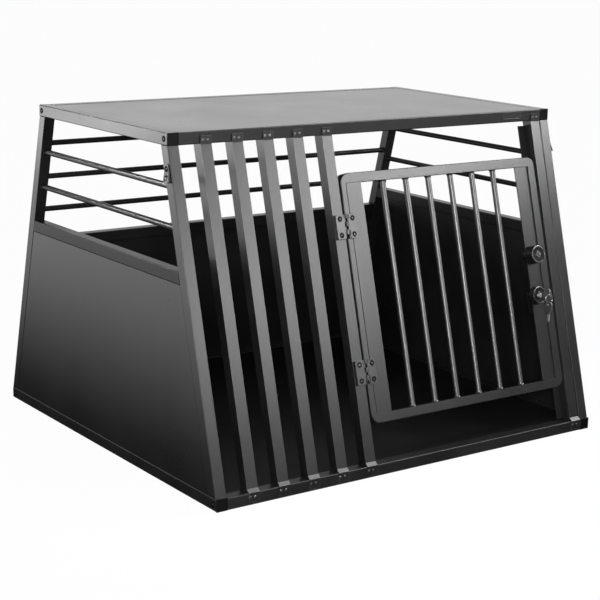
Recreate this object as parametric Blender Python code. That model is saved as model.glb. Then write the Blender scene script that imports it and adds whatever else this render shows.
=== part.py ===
"""Car dog crate: a tube frame with leaning front and rear walls, sheet panels and a barred door.

Metres, +Z up. The origin is the middle of the footprint, on the floor. The door is in the
front wall, which faces -Y, and +X is to the right when looking at it.
"""
from math import atan, cos, pi, sin, sqrt

import bmesh
import bpy
from mathutils import Matrix, Vector

# Overall sizes
HEIGHT = 0.700
WIDTH = 0.990
DEPTH = 0.890
ROOF_DEPTH = 0.540
ROOF_SETBACK = 0.185

# Frame tubes, sheet and end caps
TUBE = 0.025
WALL = 0.0015
EDGE = 0.002
CLEAR = 0.0003
FOOT_STEP = 0.0045
PANEL_SHEET = 0.001
PANEL_RECESS = 0.0008
PANEL_FLANGE = 0.012
TRAY_FLANGE = 0.018
TRAY_RECESS = 0.0005
CAP_PLATE = 0.0025
CAP_PLUG = 0.012

# Tabs that fix the bars to the front rails
TAB_SHEET = 0.002
TAB_UP = 0.0165
TAB_DOWN = 0.020
TAB_KICK = 0.006

# Side and rear walls
SIDE_RAIL_TOP = 0.440
SIDE_BARS = 2
REAR_RAIL_TOP = 0.397
REAR_BARS = 3
REAR_BAR_DROP = 0.060
REAR_BAR_RISE = 0.066
ROUND_BAR = 0.012

# Front wall
BAR_PITCH = 0.072
FRONT_BARS = 4
LOCK_POST_GAP = 0.004
STOP_SHEET = 0.002
STOP_WIDTH = 0.018
STOP_END_GAP = 0.007
DOOR_TO_STOP = 0.0012

# Door
DOOR_END_GAP = 0.0795
DOOR_HINGE_GAP = 0.0065
DOOR_LOCK_GAP = 0.005
DOOR_DEPTH = 0.020
DOOR_RAIL = 0.020
DOOR_HINGE_RAIL = 0.0125
DOOR_CORNER = 0.020
DOOR_BARS = 6
DRAIN_RADIUS = 0.003
STILE_PLATE = 0.003
STILE_RECESS = 0.0035
HINGE_STILE = 0.0375
HINGE_STILE_GAP = 0.0045
LOCK_STILE = 0.036

# Hinges
HINGE_HEIGHT = 0.050
HINGE_END_GAP = 0.109
POST_LEAF = 0.0265
DOOR_LEAF = 0.023
LEAF_THICKNESS = 0.0077
LEAF_TO_AXIS = 0.0028
KNUCKLE = 0.0165
KNUCKLE_RADIUS = 0.004
KNUCKLE_CLEAR = 0.0004
PIN_RADIUS = 0.002
AXIS_PROUD = 0.0085

# Locks
LOCK_INSET = 0.022
LOCK_RISE = 0.041
LOCK_SPACING = 0.090
ROSETTE_RADIUS = 0.021
ROSETTE_HEIGHT = 0.004
KNOB_RADIUS = 0.020
UPPER_KNOB_HEIGHT = 0.020
LOWER_KNOB_HEIGHT = 0.0075
KNOB_CHAMFER = 0.0015
KNOB_RIM = 0.004
KNOB_DISH = 0.002
PLUG_RADIUS = 0.0075
PLUG_RISE = 0.001
SPINDLE_RADIUS = 0.0065
CAM_LENGTH = 0.040
CAM_WIDTH = 0.014
CAM_SHEET = 0.003
CAM_CLEAR = 0.0015
CAM_BOSS = 0.002

# Keys and their ring
KEY_STANDOFF = 0.0135
KEY_BLADE = 0.0250
KEY_BLADE_WIDTH = 0.008
KEY_BLADE_SHEET = 0.0022
KEY_NECK = 0.007
KEY_NECK_WIDTH = 0.011
KEY_NECK_SHEET = 0.0045
KEY_BOW_LENGTH = 0.020
KEY_BOW_WIDTH = 0.022
KEY_BOW_SHEET = 0.006
KEY_CORNER = 0.006
KEY_HOLE_RADIUS = 0.003
KEY_HOLE_INSET = 0.0045
RING_RADIUS = 0.010
RING_WIRE = 0.0008

# Side brackets
BRACKET_FLAT = 0.015
BRACKET_SLANT = 0.019
BRACKET_KICK = 0.006
BRACKET_WIDTH = 0.018
BRACKET_SHEET = 0.002
BRACKET_DROP = 0.033
BRACKET_INSET = 0.004

# Places worked out from the sizes above
LEFT = -WIDTH / 2
RIGHT = WIDTH / 2
FRONT = -DEPTH / 2 + TAB_SHEET + CLEAR
REAR = DEPTH / 2
ROOF_FRONT = FRONT + ROOF_SETBACK
ROOF_REAR = ROOF_FRONT + ROOF_DEPTH
WALL_LOW = TUBE
WALL_HIGH = HEIGHT - TUBE
FRONT_SLOPE = (ROOF_FRONT - FRONT - FOOT_STEP) / (WALL_HIGH - WALL_LOW)
REAR_SLOPE = (REAR - ROOF_REAR) / (WALL_HIGH - WALL_LOW)
FRONT_LEAN = atan(FRONT_SLOPE)
FRONT_RUN = TUBE * sqrt(1 + FRONT_SLOPE ** 2)
REAR_RUN = TUBE * sqrt(1 + REAR_SLOPE ** 2)
WALL_LENGTH = (WALL_HIGH - WALL_LOW) / cos(FRONT_LEAN)

HINGE_POST = LEFT + BAR_PITCH * (FRONT_BARS + 1)
LOCK_POST = RIGHT - TUBE - LOCK_POST_GAP - TUBE
DOOR_LEFT = HINGE_POST + TUBE + DOOR_HINGE_GAP
DOOR_RIGHT = LOCK_POST - DOOR_LOCK_GAP
DOOR_LOW = DOOR_END_GAP
DOOR_HIGH = WALL_LENGTH - DOOR_END_GAP
DOOR_MIDDLE = (DOOR_LOW + DOOR_HIGH) / 2
HOLE_LEFT = DOOR_LEFT + DOOR_HINGE_RAIL
HOLE_RIGHT = DOOR_RIGHT - DOOR_RAIL
HOLE_LOW = DOOR_LOW + DOOR_RAIL
HOLE_HIGH = DOOR_HIGH - DOOR_RAIL
HINGE_STILE_LEFT = HOLE_LEFT + HINGE_STILE_GAP
HINGE_STILE_RIGHT = HINGE_STILE_LEFT + HINGE_STILE
LOCK_STILE_RIGHT = HOLE_RIGHT - CLEAR
LOCK_STILE_LEFT = LOCK_STILE_RIGHT - LOCK_STILE
HINGE_AXIS = HINGE_POST + TUBE + DOOR_HINGE_GAP / 2
UPPER_HINGE = DOOR_HIGH - HINGE_END_GAP
LOWER_HINGE = DOOR_LOW + HINGE_END_GAP
LOCK_AXIS = LOCK_STILE_RIGHT - LOCK_INSET
UPPER_LOCK = DOOR_MIDDLE + LOCK_RISE
LOWER_LOCK = UPPER_LOCK - LOCK_SPACING
ROSETTE_BACK = STILE_RECESS - CLEAR
ROSETTE_FACE = ROSETTE_BACK - ROSETTE_HEIGHT
KNOB_BACK = ROSETTE_FACE - CLEAR
LOWER_FACE = KNOB_BACK - LOWER_KNOB_HEIGHT
STOP_FACE = DOOR_DEPTH + DOOR_TO_STOP
CAM_FACE = STOP_FACE + STOP_SHEET + CAM_CLEAR
SPINDLE_HOLE = SPINDLE_RADIUS + CLEAR
KEY_SLOT = KEY_BLADE - KEY_STANDOFF + CLEAR
KEY_HOLE = LOWER_FACE - KEY_STANDOFF - KEY_BOW_LENGTH + KEY_HOLE_INSET
RING_SAG = RING_RADIUS - RING_WIRE - sqrt((RING_RADIUS - RING_WIRE) ** 2 - KEY_BOW_SHEET ** 2 / 4)
RING_HANG = KEY_HOLE_RADIUS - RING_WIRE - CLEAR - RING_SAG

FINISHES = {
    "frame paint": ((0.035, 0.035, 0.036), 0.42, 0.3),
    "panel paint": ((0.030, 0.030, 0.031), 0.38, 0.3),
    "cap plastic": ((0.012, 0.012, 0.013), 0.55, 0.0),
    "stop rubber": ((0.010, 0.010, 0.010), 0.75, 0.0),
    "hinge coat": ((0.040, 0.040, 0.041), 0.40, 0.3),
    "lock shell": ((0.015, 0.015, 0.016), 0.35, 0.1),
    "key metal": ((0.45, 0.44, 0.42), 0.30, 1.0),
}


def front(z):
    """How far back the front wall's outer plane lies at a height."""
    return FRONT + FOOT_STEP + FRONT_SLOPE * (z - WALL_LOW)


def rear(z):
    """How far back the rear wall's outer plane lies at a height."""
    return REAR - REAR_SLOPE * (z - WALL_LOW)


def on_wall(x, inward, up):
    """A point given along, into and up the leaning front wall."""
    y = FRONT + FOOT_STEP + inward * cos(FRONT_LEAN) + up * sin(FRONT_LEAN)
    z = WALL_LOW + up * cos(FRONT_LEAN) - inward * sin(FRONT_LEAN)
    return Vector((x, y, z))


def material(name):
    """A finish by name, made the first time it is asked for."""
    if name in bpy.data.materials:
        return bpy.data.materials[name]
    color, roughness, metallic = FINISHES[name]
    made = bpy.data.materials.new(name)
    made.use_nodes = True
    shader = made.node_tree.nodes["Principled BSDF"]
    shader.inputs["Base Color"].default_value = (*color, 1)
    shader.inputs["Roughness"].default_value = roughness
    shader.inputs["Metallic"].default_value = metallic
    made.diffuse_color = (*color, 1)
    return made


def make(name, bm, finish="frame paint", parent=None, origin=(0, 0, 0)):
    """Turn a bmesh into a named object whose origin is at a given point."""
    mesh = bpy.data.meshes.new(name)
    bmesh.ops.translate(bm, verts=bm.verts, vec=-Vector(origin))
    bmesh.ops.recalc_face_normals(bm, faces=bm.faces)
    bm.to_mesh(mesh)
    bm.free()
    mesh.materials.append(material(finish))
    made = bpy.data.objects.new(name, mesh)
    made.parent = parent
    made.location = origin
    bpy.context.collection.objects.link(made)
    return made


def smooth(piece, angle=40):
    """Shade a round piece smooth, and keep its sharp corners."""
    piece.data.shade_smooth()
    piece.data.set_sharp_from_angle(angle=angle * pi / 180)
    return piece


def bake(piece):
    """Replace a piece's mesh by what its modifiers make of it."""
    bpy.context.view_layer.update()
    shown = piece.evaluated_get(bpy.context.evaluated_depsgraph_get())
    mesh = bpy.data.meshes.new_from_object(shown)
    piece.modifiers.clear()
    piece.data = mesh


def combine(piece, bm, operation):
    """Join a shape to a piece (UNION) or cut it out of the piece (DIFFERENCE)."""
    tool = make("tool", bm)
    tool.parent = piece.parent
    step = piece.modifiers.new(operation.lower(), "BOOLEAN")
    step.operation = operation
    step.solver = "EXACT"
    step.object = tool
    bake(piece)
    bpy.data.objects.remove(tool)


def thicken(piece, thickness):
    """Give an open sheet its thickness, measured inwards from its outer face."""
    sheet = piece.modifiers.new("sheet", "SOLIDIFY")
    sheet.thickness = thickness
    sheet.offset = -1
    sheet.use_even_offset = True
    bake(piece)


def reshape(piece, move):
    """Move every point of a piece to where a function puts it."""
    for point in piece.data.vertices:
        point.co = move(point.co)


def block(low, high):
    """A box between two opposite corners."""
    low = Vector(low)
    high = Vector(high)
    size = Matrix.Diagonal((*(high - low), 1))
    bm = bmesh.new()
    bmesh.ops.create_cube(bm, size=1, matrix=Matrix.Translation((low + high) / 2) @ size)
    return bm


def prism(outline, axis, length):
    """A closed outline of points, drawn out along one axis."""
    bm = bmesh.new()
    face = bm.faces.new([bm.verts.new(point) for point in outline])
    drawn = bmesh.ops.extrude_face_region(bm, geom=[face])
    step = Vector((0, 0, 0))
    step[axis] = length
    moved = [item for item in drawn["geom"] if isinstance(item, bmesh.types.BMVert)]
    bmesh.ops.translate(bm, verts=moved, vec=step)
    return bm


def rod(radius, low, high, axis, sides=20):
    """A round bar between two points that differ along one axis."""
    low = Vector(low)
    high = Vector(high)
    turn = (Matrix.Rotation(pi / 2, 4, "Y"), Matrix.Rotation(pi / 2, 4, "X"), Matrix())[axis]
    bm = bmesh.new()
    bmesh.ops.create_cone(bm, cap_ends=True, segments=sides, radius1=radius, radius2=radius,
                          depth=(high - low).length,
                          matrix=Matrix.Translation((low + high) / 2) @ turn)
    return bm


def spin(bm, center, sides):
    """Turn an open profile or a loop about a line along Y through a point."""
    bmesh.ops.spin(bm, geom=bm.verts[:] + bm.edges[:], cent=center, axis=(0, 1, 0),
                   angle=2 * pi, steps=sides, use_merge=True)
    bmesh.ops.remove_doubles(bm, verts=bm.verts, dist=0.00001)
    return bm


def turned(profile, center, sides=48):
    """A turned shape about a line along Y, from points of radius and depth."""
    bm = bmesh.new()
    points = [bm.verts.new((center.x + radius, depth, center.z)) for radius, depth in profile]
    for near, far in zip(points, points[1:]):
        bm.edges.new((near, far))
    return spin(bm, center, sides)


def corner_points(left, right, low, high, radius, steps=6):
    """The outline of a rectangle with rounded corners, as pairs."""
    corners = ((right - radius, low + radius, 3), (right - radius, high - radius, 0),
               (left + radius, high - radius, 1), (left + radius, low + radius, 2))
    pairs = []
    for across, up, quarter in corners:
        for step in range(steps + 1):
            angle = (quarter + step / steps) * pi / 2
            pairs.append((across + radius * cos(angle), up + radius * sin(angle)))
    return pairs


def round_edges(bm, chosen, radius=EDGE):
    """Round the chosen edges of a shape."""
    edges = [edge for edge in bm.edges if chosen(edge.verts[0].co, edge.verts[1].co)]
    bmesh.ops.bevel(bm, geom=edges, offset=radius, segments=2, profile=0.5, affect="EDGES",
                    clamp_overlap=True)


def is_long(start, end):
    """Whether an edge runs along a tube, not across its end."""
    return (end - start).length > 2 * TUBE


def tube(name, low, high, axis, closed=False, line=None):
    """A square tube along one axis, open at both ends or closed at the far one."""
    low = Vector(low)
    high = Vector(high)
    bm = block(low, high)
    round_edges(bm, is_long)
    piece = make(name, bm)
    inner_low = low + Vector((WALL, WALL, WALL))
    inner_high = high - Vector((WALL, WALL, WALL))
    inner_low[axis] = low[axis] - TUBE
    inner_high[axis] = high[axis] - WALL if closed else high[axis] + TUBE
    combine(piece, block(inner_low, inner_high), "DIFFERENCE")
    if line:
        reshape(piece, line)
    return piece


def between_walls(point):
    """Stretch a unit length along Y so that it fits between the corner posts."""
    start = front(point.z) + FRONT_RUN + CLEAR
    end = rear(point.z) - REAR_RUN - CLEAR
    return Vector((point.x, start + (end - start) * point.y, point.z))


def mirrored(point):
    return Vector((-point.x, point.y, point.z))


def sided(name, side):
    """The left piece's name as it is, or with the right side's name."""
    return name if side < 0 else name.replace("left", "right")


# The startup scene is emptied, and the leaning front wall gets its own axes.
for old in list(bpy.data.objects):
    bpy.data.objects.remove(old)

front_wall = bpy.data.objects.new("front_wall", None)
front_wall.empty_display_size = TUBE
front_wall.location = on_wall(0, 0, 0)
front_wall.rotation_euler = (-FRONT_LEAN, 0, 0)
bpy.context.collection.objects.link(front_wall)

# The base and the roof each have two full-length side rails, with a plastic cap in the open
# front end, and two cross rails that fit between them.
for level, bottom, start, end in (("base", 0, FRONT, REAR), ("roof", WALL_HIGH, ROOF_FRONT, ROOF_REAR)):
    for side, edge in ((-1, LEFT), (1, RIGHT - TUBE)):
        tube(sided(f"{level}_left_rail", side), (edge, start + CAP_PLATE + CLEAR, bottom),
             (edge + TUBE, end, bottom + TUBE), 1, closed=True)
        plate = block((edge, start, bottom), (edge + TUBE, start + CAP_PLATE, bottom + TUBE))
        cap = make(sided(f"{level}_left_cap", side), plate, "cap plastic")
        inset = WALL + CLEAR
        combine(cap, block((edge + inset, start + CAP_PLATE / 2, bottom + inset),
                           (edge + TUBE - inset, start + CAP_PLATE + CAP_PLUG, bottom + TUBE - inset)),
                "UNION")
    inner = WIDTH / 2 - TUBE - CLEAR
    tube(f"{level}_front_rail", (-inner, start, bottom), (inner, start + TUBE, bottom + TUBE), 0)
    tube(f"{level}_rear_rail", (-inner, end - TUBE, bottom), (inner, end, bottom + TUBE), 0)

# The floor and the roof are trays of sheet that fit between the rails, with turned-down edges.
for name, top, start, end in (("floor_panel", TUBE, FRONT, REAR), ("roof_panel", HEIGHT, ROOF_FRONT, ROOF_REAR)):
    bm = block((LEFT + TUBE + CLEAR, start + TUBE + CLEAR, top - TRAY_RECESS - TRAY_FLANGE),
               (RIGHT - TUBE - CLEAR, end - TUBE - CLEAR, top - TRAY_RECESS))
    open_side = [face for face in bm.faces if face.normal.z < -0.9]
    bmesh.ops.delete(bm, geom=open_side, context="FACES_ONLY")
    thicken(make(name, bm, "panel paint"), PANEL_SHEET)

# Each side wall has two leaning corner posts, a middle rail, a recessed sheet panel below it
# and two round bars above it.
post_low = WALL_LOW + CLEAR
post_high = WALL_HIGH - CLEAR
side_rail_low = SIDE_RAIL_TOP - TUBE
for side in (-1, 1):
    outer = LEFT if side < 0 else RIGHT - TUBE
    tube(sided("front_left_post", side), (outer, 0, post_low), (outer + TUBE, FRONT_RUN, post_high), 2,
         line=lambda point: Vector((point.x, point.y + front(point.z), point.z)))
    tube(sided("rear_left_post", side), (outer, -REAR_RUN, post_low), (outer + TUBE, 0, post_high), 2,
         line=lambda point: Vector((point.x, point.y + rear(point.z), point.z)))

    rail = tube(sided("left_mid_rail", side), (outer, 0, side_rail_low), (outer + TUBE, 1, SIDE_RAIL_TOP), 1)
    reshape(rail, between_walls)

    bm = block((LEFT + PANEL_RECESS, 0, WALL_LOW + CLEAR),
               (LEFT + PANEL_RECESS + PANEL_FLANGE, 1, side_rail_low - CLEAR))
    open_side = [face for face in bm.faces if face.normal.x > 0.9]
    bmesh.ops.delete(bm, geom=open_side, context="FACES_ONLY")
    panel = make(sided("left_panel", side), bm, "panel paint")
    reshape(panel, between_walls)
    if side > 0:
        reshape(panel, mirrored)
        panel.data.flip_normals()
    thicken(panel, PANEL_SHEET)

    bar_pitch = (WALL_HIGH - SIDE_RAIL_TOP) / (SIDE_BARS + 1)
    for number in range(SIDE_BARS):
        height = WALL_HIGH - bar_pitch * (number + 1)
        bm = rod(ROUND_BAR / 2, (outer + TUBE / 2, 0, height), (outer + TUBE / 2, 1, height), 1)
        bar = make(sided(f"left_side_bar_{number + 1}", side), bm)
        reshape(bar, between_walls)
        smooth(bar)

# The rear wall has a middle rail, a panel below it and round bars above it, all between the
# rear posts.
rear_rail_low = REAR_RAIL_TOP - TUBE
rear_inner = WIDTH / 2 - TUBE - CLEAR
tube("rear_mid_rail", (-rear_inner, -REAR_RUN, rear_rail_low), (rear_inner, 0, REAR_RAIL_TOP), 0,
     line=lambda point: Vector((point.x, point.y + rear(point.z), point.z)))

bm = block((-rear_inner, -PANEL_RECESS - PANEL_FLANGE, WALL_LOW + CLEAR),
           (rear_inner, -PANEL_RECESS, rear_rail_low - CLEAR))
open_side = [face for face in bm.faces if face.normal.y < -0.9]
bmesh.ops.delete(bm, geom=open_side, context="FACES_ONLY")
panel = make("rear_panel", bm, "panel paint")
reshape(panel, lambda point: Vector((point.x, point.y + rear(point.z), point.z)))
thicken(panel, PANEL_SHEET)

rear_bar_high = WALL_HIGH - REAR_BAR_DROP
rear_bar_pitch = (rear_bar_high - REAR_RAIL_TOP - REAR_BAR_RISE) / (REAR_BARS - 1)
for number in range(REAR_BARS):
    height = rear_bar_high - rear_bar_pitch * number
    middle = rear(height) - REAR_RUN / 2
    smooth(make(f"rear_bar_{number + 1}",
                rod(ROUND_BAR / 2, (-rear_inner, middle, height), (rear_inner, middle, height), 0)))


def front_bar(name, left):
    """A leaning square bar whose front face runs on as a tab onto each rail."""
    face = FRONT - CLEAR
    roof_face = ROOF_FRONT - CLEAR
    kick = post_low + TAB_KICK
    upright = WALL_HIGH - (CLEAR + TAB_SHEET) / FRONT_SLOPE
    outline = (
        (left, front(post_low) + FRONT_RUN, post_low),
        (left, front(post_high) + FRONT_RUN, post_high),
        (left, roof_face, post_high),
        (left, roof_face, WALL_HIGH + TAB_UP),
        (left, roof_face - TAB_SHEET, WALL_HIGH + TAB_UP),
        (left, roof_face - TAB_SHEET, upright),
        (left, front(kick), kick),
        (left, face - TAB_SHEET, post_low),
        (left, face - TAB_SHEET, WALL_LOW - TAB_DOWN),
        (left, face, WALL_LOW - TAB_DOWN),
        (left, face, post_low),
    )
    bm = prism(outline, 0, TUBE)
    round_edges(bm, is_long)
    bar = make(name, bm)
    wall = WALL * FRONT_RUN / TUBE
    low = WALL_LOW - TUBE
    high = WALL_HIGH + TUBE
    core = prism((
        (left + WALL, front(low) + wall, low),
        (left + WALL, front(high) + wall, high),
        (left + WALL, front(high) + FRONT_RUN - wall, high),
        (left + WALL, front(low) + FRONT_RUN - wall, low),
    ), 0, TUBE - 2 * WALL)
    combine(bar, core, "DIFFERENCE")


# The front wall has evenly spaced bars left of the door, and a post on each side of it.
for number in range(FRONT_BARS):
    front_bar(f"front_bar_{number + 1}", LEFT + BAR_PITCH * (number + 1))
front_bar("hinge_post", HINGE_POST)
front_bar("lock_post", LOCK_POST)

# The door stop is an angle strip: one leg on the lock post, the other behind the door.
stop_right = LOCK_POST - CLEAR
stop_left = stop_right - STOP_WIDTH
stop_back = STOP_FACE + STOP_SHEET
stop_outline = (
    (stop_right, EDGE, STOP_END_GAP),
    (stop_right, stop_back, STOP_END_GAP),
    (stop_left, stop_back, STOP_END_GAP),
    (stop_left, STOP_FACE, STOP_END_GAP),
    (stop_right - STOP_SHEET, STOP_FACE, STOP_END_GAP),
    (stop_right - STOP_SHEET, EDGE, STOP_END_GAP),
)
make("door_stop", prism(stop_outline, 2, WALL_LENGTH - 2 * STOP_END_GAP), "stop rubber", front_wall)

# A small bent strap on the outer side of each front post: flat above, slanting out below, with a
# foot that runs back to the post.
for side in (-1, 1):
    top = WALL_HIGH - BRACKET_DROP
    bend = top - BRACKET_FLAT
    foot = bend - BRACKET_SLANT
    near = LEFT - CLEAR
    reach = near - BRACKET_KICK
    outline = (
        (near, 0, top),
        (near, 0, bend),
        (reach, 0, foot),
        (near, 0, foot),
        (near, 0, foot - BRACKET_SHEET),
        (reach - BRACKET_SHEET, 0, foot - BRACKET_SHEET),
        (reach - BRACKET_SHEET, 0, foot),
        (near - BRACKET_SHEET, 0, bend),
        (near - BRACKET_SHEET, 0, top),
    )
    strap = make(sided("left_bracket", side), prism(outline, 1, BRACKET_WIDTH))
    back = FRONT_RUN - BRACKET_INSET - BRACKET_WIDTH
    reshape(strap, lambda point: Vector((point.x, point.y + front(point.z) + back, point.z)))
    if side > 0:
        reshape(strap, mirrored)
        strap.data.flip_normals()

# The door is a welded ring of tube with rounded corners and a drain hole. Everything on it
# has its origin on the hinge axis.
hinge_line = Vector((HINGE_AXIS, -AXIS_PROUD, DOOR_MIDDLE))


def ring_outline(inset, depth):
    """The door's outline, drawn in by an inset, at a depth."""
    pairs = corner_points(DOOR_LEFT + inset, DOOR_RIGHT - inset, DOOR_LOW + inset, DOOR_HIGH - inset,
                          DOOR_CORNER - inset)
    return [(across, depth, up) for across, up in pairs]


bm = prism(ring_outline(0, 0), 1, DOOR_DEPTH)
round_edges(bm, lambda start, end: abs(start.y - end.y) < CLEAR)
door_frame = make("door_frame", bm, "frame paint", front_wall, hinge_line)
core = prism(ring_outline(WALL, WALL), 1, DOOR_DEPTH - 2 * WALL)
cavity = make("cavity", core, "frame paint", front_wall)
combine(cavity, block((HOLE_LEFT - WALL, -DOOR_DEPTH, HOLE_LOW - WALL),
                      (HOLE_RIGHT + WALL, 2 * DOOR_DEPTH, HOLE_HIGH + WALL)), "DIFFERENCE")
drain = Vector(((DOOR_LEFT + DOOR_RIGHT) / 2, DOOR_DEPTH / 2, DOOR_LOW))
combine(cavity, rod(DRAIN_RADIUS, drain - Vector((0, 0, DOOR_RAIL)),
                    drain + Vector((0, 0, DOOR_RAIL / 2)), 2), "UNION")
hollow = bmesh.new()
hollow.from_mesh(cavity.data)
bpy.data.objects.remove(cavity)
combine(door_frame, hollow, "DIFFERENCE")
combine(door_frame, block((HOLE_LEFT, -DOOR_DEPTH, HOLE_LOW), (HOLE_RIGHT, 2 * DOOR_DEPTH, HOLE_HIGH)),
        "DIFFERENCE")

# A sheet plate stands at each end of the ring's opening, with the round bars between them.
stile_low = HOLE_LOW + CLEAR
stile_high = HOLE_HIGH - CLEAR
stile_back = STILE_RECESS + STILE_PLATE
make("hinge_stile", block((HINGE_STILE_LEFT, STILE_RECESS, stile_low),
                          (HINGE_STILE_RIGHT, stile_back, stile_high)),
     "frame paint", front_wall, hinge_line)
lock_stile = make("lock_stile", block((LOCK_STILE_LEFT, STILE_RECESS, stile_low),
                                      (LOCK_STILE_RIGHT, stile_back, stile_high)),
                  "frame paint", front_wall, hinge_line)
for up in (UPPER_LOCK, LOWER_LOCK):
    combine(lock_stile, rod(SPINDLE_HOLE, (LOCK_AXIS, 0, up), (LOCK_AXIS, DOOR_DEPTH, up), 1, 32),
            "DIFFERENCE")

door_bar_pitch = (LOCK_STILE_LEFT - HINGE_STILE_RIGHT) / (DOOR_BARS + 1)
for number in range(DOOR_BARS):
    across = HINGE_STILE_RIGHT + door_bar_pitch * (number + 1)
    bm = rod(ROUND_BAR / 2, (across, DOOR_DEPTH / 2, stile_low), (across, DOOR_DEPTH / 2, stile_high), 2)
    smooth(make(f"door_bar_{number + 1}", bm, "frame paint", front_wall, hinge_line))


def leaf(name, middle, side, reach, segments, pin):
    """A thick hinge leaf with its own knuckles, cut clear of the other leaf's knuckles."""
    axis = Vector((HINGE_AXIS, -AXIS_PROUD, middle))
    near = HINGE_AXIS + side * LEAF_TO_AXIS
    far = HINGE_AXIS + side * reach
    half = HINGE_HEIGHT / 2
    bm = block((min(near, far), -CLEAR - LEAF_THICKNESS, middle - half),
               (max(near, far), -CLEAR, middle + half))
    piece = make(name, bm, "hinge coat", front_wall, axis)
    joints = (half, KNUCKLE, 0, -KNUCKLE, -half)
    for number in range(4):
        if number not in segments:
            top = joints[number] + (0 if number else CLEAR)
            foot = joints[number + 1] - (CLEAR if number == 3 else 0)
            combine(piece, rod(KNUCKLE_RADIUS + KNUCKLE_CLEAR, axis + Vector((0, 0, top)),
                               axis + Vector((0, 0, foot)), 2, 32), "DIFFERENCE")
    for number in segments:
        top = joints[number] - (CLEAR if number else 0)
        foot = joints[number + 1]
        combine(piece, rod(KNUCKLE_RADIUS, axis + Vector((0, 0, top)), axis + Vector((0, 0, foot)), 2, 32),
                "UNION")
    end = Vector((0, 0, half))
    past = Vector((0, 0, half + CLEAR))
    if pin:
        combine(piece, rod(PIN_RADIUS, axis - end, axis + end, 2, 16), "UNION")
    else:
        combine(piece, rod(PIN_RADIUS + CLEAR, axis - past, axis + past, 2, 16), "DIFFERENCE")
    smooth(piece)


# Each hinge has a leaf with the pin on the post, and a leaf on the door.
for level, middle in (("upper", UPPER_HINGE), ("lower", LOWER_HINGE)):
    leaf(f"{level}_post_leaf", middle, -1, POST_LEAF, (0, 2), True)
    leaf(f"{level}_door_leaf", middle, 1, DOOR_LEAF, (1, 3), False)


def lock(level, up, height):
    """A lock: a fixed rosette, and a knob with its spindle and its cam behind the door."""
    axis = Vector((LOCK_AXIS, 0, up))
    rosette = turned(((SPINDLE_HOLE, ROSETTE_BACK), (ROSETTE_RADIUS, ROSETTE_BACK),
                      (ROSETTE_RADIUS, ROSETTE_FACE), (SPINDLE_HOLE, ROSETTE_FACE),
                      (SPINDLE_HOLE, ROSETTE_BACK)), axis)
    smooth(make(f"{level}_rosette", rosette, "lock shell", front_wall, hinge_line))

    face = KNOB_BACK - height
    plug_face = face + KNOB_DISH - PLUG_RISE
    spindle_end = CAM_FACE + CAM_SHEET + CAM_BOSS
    dish_radius = KNOB_RADIUS - KNOB_RIM
    body = turned((
        (0, spindle_end), (SPINDLE_RADIUS, spindle_end), (SPINDLE_RADIUS, KNOB_BACK),
        (KNOB_RADIUS, KNOB_BACK), (KNOB_RADIUS, face + KNOB_CHAMFER), (KNOB_RADIUS - KNOB_CHAMFER, face),
        (dish_radius, face), (dish_radius, face + KNOB_DISH), (PLUG_RADIUS, face + KNOB_DISH),
        (PLUG_RADIUS, plug_face), (0, plug_face)), axis)
    knob = make(f"{level}_knob", body, "lock shell", front_wall, axis)
    combine(knob, block((LOCK_AXIS - CAM_WIDTH / 2, CAM_FACE, up - CAM_LENGTH),
                        (LOCK_AXIS + CAM_WIDTH / 2, CAM_FACE + CAM_SHEET, up + CAM_WIDTH / 2)), "UNION")
    slot = Vector((KEY_BLADE_SHEET / 2 + CLEAR, 0, KEY_BLADE_WIDTH / 2 + CLEAR))
    combine(knob, block(axis - slot + Vector((0, face, 0)), axis + slot + Vector((0, face + KEY_SLOT, 0))),
            "DIFFERENCE")
    smooth(knob)


lock("upper", UPPER_LOCK, UPPER_KNOB_HEIGHT)
lock("lower", LOWER_LOCK, LOWER_KNOB_HEIGHT)


def key_shape(name):
    """A key that hangs by its hole, which is at the origin, with the blade pointing down."""
    top = KEY_HOLE_INSET
    foot = KEY_HOLE_INSET - KEY_BOW_LENGTH
    half = KEY_BOW_WIDTH / 2
    pairs = corner_points(-half, half, foot, top, KEY_CORNER)
    bow = prism([(-KEY_BOW_SHEET / 2, across, up) for across, up in pairs], 0, KEY_BOW_SHEET)
    piece = make(name, bow, "key metal")
    combine(piece, block((-KEY_NECK_SHEET / 2, -KEY_NECK_WIDTH / 2, foot - KEY_NECK),
                         (KEY_NECK_SHEET / 2, KEY_NECK_WIDTH / 2, foot + KEY_CORNER)), "UNION")
    combine(piece, block((-KEY_BLADE_SHEET / 2, -KEY_BLADE_WIDTH / 2, foot - KEY_BLADE),
                         (KEY_BLADE_SHEET / 2, KEY_BLADE_WIDTH / 2, foot - KEY_NECK / 2)), "UNION")
    combine(piece, rod(KEY_HOLE_RADIUS, (-KEY_BOW_SHEET, 0, 0), (KEY_BOW_SHEET, 0, 0), 0, 24), "DIFFERENCE")
    return piece


# One key is in the lower lock. A ring hangs from its bow, with the spare key on the ring.
key = key_shape("key")
key.data.transform(Matrix.Translation((0, KEY_HOLE, 0)) @ Matrix.Rotation(pi / 2, 4, "X"))
key.parent = front_wall
key.location = (LOCK_AXIS, 0, LOWER_LOCK)

ring_top = on_wall(LOCK_AXIS, KEY_HOLE, LOWER_LOCK) - Vector((0, 0, RING_HANG))
wire = bmesh.new()
bmesh.ops.create_circle(wire, segments=10, radius=RING_WIRE,
                        matrix=Matrix.Translation(ring_top + Vector((RING_RADIUS, 0, -RING_RADIUS))))
spin(wire, ring_top - Vector((0, 0, RING_RADIUS)), 36)
smooth(make("key_ring", wire, "key metal", None, ring_top))

ring_foot = ring_top - Vector((0, 0, 2 * RING_RADIUS))
spare = key_shape("spare_key")
spare.data.transform(Matrix.Translation((0, 0, -RING_HANG)))
spare.location = ring_foot
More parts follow.
